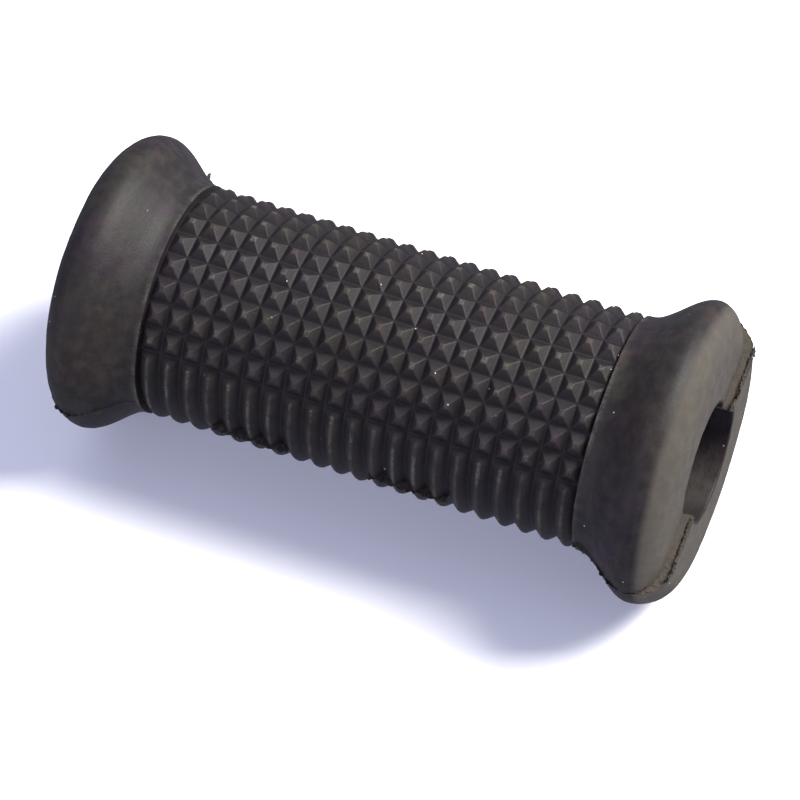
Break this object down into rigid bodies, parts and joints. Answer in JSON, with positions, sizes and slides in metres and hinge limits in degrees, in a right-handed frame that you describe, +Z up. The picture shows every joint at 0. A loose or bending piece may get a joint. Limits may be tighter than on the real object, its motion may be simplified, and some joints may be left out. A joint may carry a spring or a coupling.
{
  "type": "footrest rubber sleeve",
  "caption": "Moulded black rubber sleeve for a footrest bar: a rounded flange at each end, a pyramid tread that turns to plain ribs, and a round bore right through.",
  "frame": {"origin": "on the bore's axis, halfway along the sleeve's length, which is the centre of its bounding box", "axes": "+X along the bore, towards the end where one half of the end face stands proud; +Z up, as the sleeve lies on its two flanges, with the middle of the pyramid tread turned 74 degrees from +Z towards +Y"},
  "size_m": [0.095, 0.0446, 0.0446],
  "materials": {
    "black_rubber": "satin",
    "torn_rubber": "matt, torn"
  },
  "bodies": {
    "root": {"rubber_sleeve": "black_rubber", "flash_upper_left_neck": "torn_rubber", "flash_upper_tread": "torn_rubber", "flash_upper_right_neck": "torn_rubber", "flash_lower_left_flange": "torn_rubber", "flash_lower_tread_left": "torn_rubber", "flash_lower_tread_right": "torn_rubber", "flash_lower_right_flange": "torn_rubber", "flash_step_above_bore": "torn_rubber", "flash_step_below_bore": "torn_rubber"}
  },
  "joints": []
}
